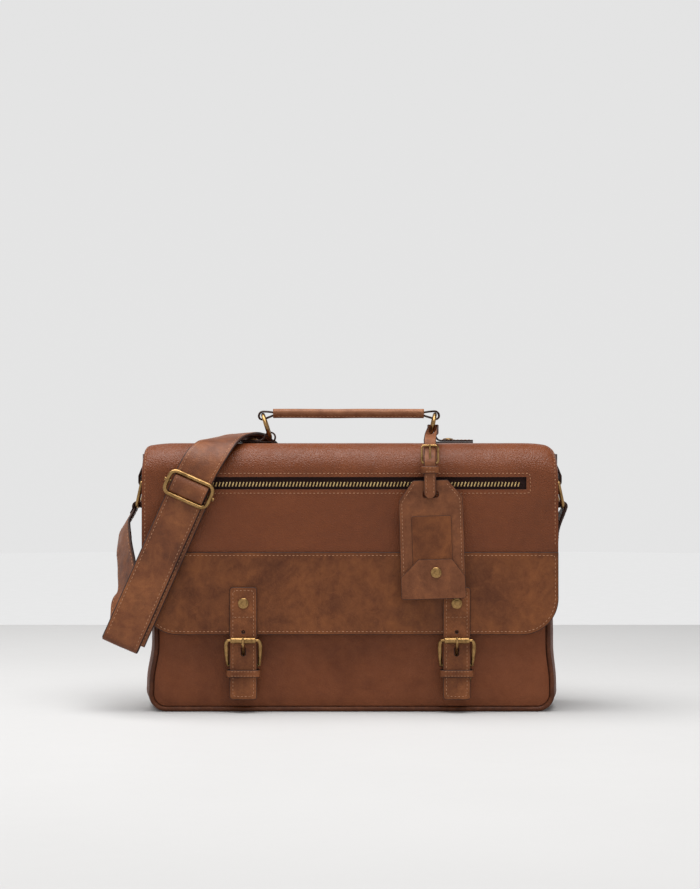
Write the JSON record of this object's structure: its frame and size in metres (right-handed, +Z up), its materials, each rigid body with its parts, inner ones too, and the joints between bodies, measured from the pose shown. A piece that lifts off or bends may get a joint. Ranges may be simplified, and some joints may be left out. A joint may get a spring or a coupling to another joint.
{
  "type": "briefcase",
  "caption": "Leather flap briefcase with buckle straps, zipped flap pocket, top handle, luggage tag and shoulder strap.",
  "frame": {"origin": "middle of the bag's base, on the surface it stands on", "axes": "+X along the bag to its right seen from the front, +Y to its back, +Z up"},
  "size_m": [0.4612, 0.1495, 0.2996],
  "materials": {
    "leather_body": "smooth waxed, lightly worn",
    "leather_gusset": "smooth waxed",
    "piping": "dark edge binding",
    "leather_flap": "pebbled, waxed",
    "leather_overlay": "distressed, waxed",
    "leather_lining": "suede side",
    "leather_strap": "smooth, stitched, dark edges",
    "leather_handle": "smooth, worn",
    "leather_tag": "smooth, stitched",
    "leather_shoulder": "smooth, pulled up",
    "leather_side_tab": "smooth",
    "zip_tape": "woven",
    "zip_brass": "antique",
    "antique_brass": "antique, satin"
  },
  "bodies": {
    "body": {"front_panel": "leather_body", "back_panel": "leather_body", "gusset": "leather_gusset", "piping_front": "piping", "piping_back": "piping", "flap_root_strip": "leather_flap", "magnetic_snap_left": "antique_brass", "magnetic_snap_right": "antique_brass", "side_tab_left": "leather_side_tab", "side_tab_right": "leather_side_tab", "shoulder_strap_left_loop": "leather_shoulder", "shoulder_strap_back_run": "leather_shoulder"},
    "flap": {"flap_upper_panel": "leather_flap", "flap_overlay": "leather_overlay", "flap_backing": "leather_lining", "zip_tape_upper": "zip_tape", "zip_tape_lower": "zip_tape", "zip_teeth": "zip_brass", "buckle_strap_left": "leather_strap", "buckle_strap_right": "leather_strap", "rivet_left": "antique_brass", "rivet_right": "antique_brass", "buckle_frame_left": "antique_brass", "buckle_frame_right": "antique_brass", "prong_left": "antique_brass", "prong_right": "antique_brass", "buckle_tongue_left": "leather_strap", "buckle_tongue_right": "leather_strap", "keeper_left": "leather_strap", "keeper_right": "leather_strap", "handle_tab_left": "leather_handle", "handle_tab_right": "leather_handle", "tab_rivet_left": "antique_brass", "tab_rivet_right": "antique_brass", "tag_strap_loop": "leather_tag", "shoulder_strap_front": "leather_shoulder", "shoulder_strap_under": "leather_shoulder"},
    "handle": {"handle_grip": "leather_handle", "handle_loop_left": "leather_handle", "handle_loop_right": "leather_handle"},
    "ring_left": {"ring_left": "antique_brass"},
    "ring_right": {"ring_right": "antique_brass"},
    "zip_slider": {"zip_slider": "zip_brass"},
    "zip_pull": {"zip_pull": "zip_brass"},
    "tag": {"tag_back": "leather_tag", "tag_front": "leather_tag", "tag_tongue": "leather_tag", "tag_pocket": "leather_tag", "tag_snap": "antique_brass", "tag_strap_front": "leather_tag", "tag_strap_back": "leather_tag", "tag_buckle": "antique_brass", "tag_prong": "antique_brass", "tag_keeper": "leather_tag"},
    "roller_left": {"roller_left": "antique_brass"},
    "roller_right": {"roller_right": "antique_brass"},
    "dring_left": {"dring_left": "antique_brass"},
    "dring_right": {"dring_right": "antique_brass"},
    "strap_slider": {"strap_slider_frame": "antique_brass", "strap_slider_bar": "antique_brass"}
  },
  "joints": [
    {"name": "flap_hinge", "type": "hinge", "parent": "body", "child": "flap", "pos_m": [0, 0.05, 0.2632], "axis": [-1, 0, 0], "range_deg": [0, 110], "deforming": ["shoulder_strap_left_loop", "shoulder_strap_back_run"]},
    {"name": "handle_swing", "type": "hinge", "parent": "flap", "child": "handle", "pos_m": [0, 0, 0.2823], "axis": [1, 0, 0], "range_deg": [-38, 38]},
    {"name": "ring_left_turn", "type": "hinge", "parent": "flap", "child": "ring_left", "pos_m": [-0.0842, 0, 0.2823], "axis": [0.9511, 0, 0.309], "continuous": true},
    {"name": "ring_right_turn", "type": "hinge", "parent": "flap", "child": "ring_right", "pos_m": [0.0833, 0, 0.2823], "axis": [0.9781, 0, -0.2079], "continuous": true},
    {"name": "zip_slide", "type": "slide", "parent": "flap", "child": "zip_slider", "axis": [1, 0, 0], "range_m": [0, 0.326]},
    {"name": "zip_pull_swing", "type": "hinge", "parent": "zip_slider", "child": "zip_pull", "pos_m": [-0.163, -0.0646, 0.2245], "axis": [1, 0, 0], "range_deg": [-6, 7]},
    {"name": "tag_swing", "type": "hinge", "parent": "flap", "child": "tag", "pos_m": [0.0782, -0.0678, 0.262], "axis": [-1, 0, 0], "range_deg": [0, 55]},
    {"name": "roller_left_turn", "type": "hinge", "parent": "flap", "child": "roller_left", "pos_m": [-0.1045, -0.0686, 0.072], "axis": [1, 0, 0], "continuous": true},
    {"name": "roller_right_turn", "type": "hinge", "parent": "flap", "child": "roller_right", "pos_m": [0.1045, -0.0686, 0.072], "axis": [1, 0, 0], "continuous": true},
    {"name": "dring_left_swing", "type": "hinge", "parent": "body", "child": "dring_left", "pos_m": [-0.208, 0, 0.226], "axis": [0, 1, 0], "range_deg": [-12, 70], "deforming": ["shoulder_strap_left_loop"]},
    {"name": "dring_right_swing", "type": "hinge", "parent": "body", "child": "dring_right", "pos_m": [0.208, 0, 0.226], "axis": [0, -1, 0], "range_deg": [-12, 70], "deforming": ["shoulder_strap_back_run"]},
    {"name": "strap_adjust", "type": "slide", "parent": "flap", "child": "strap_slider", "axis": [0.4067, 0, 0.9135], "range_m": [-0.085, 0.008], "deforming": ["shoulder_strap_under"]}
  ]
}
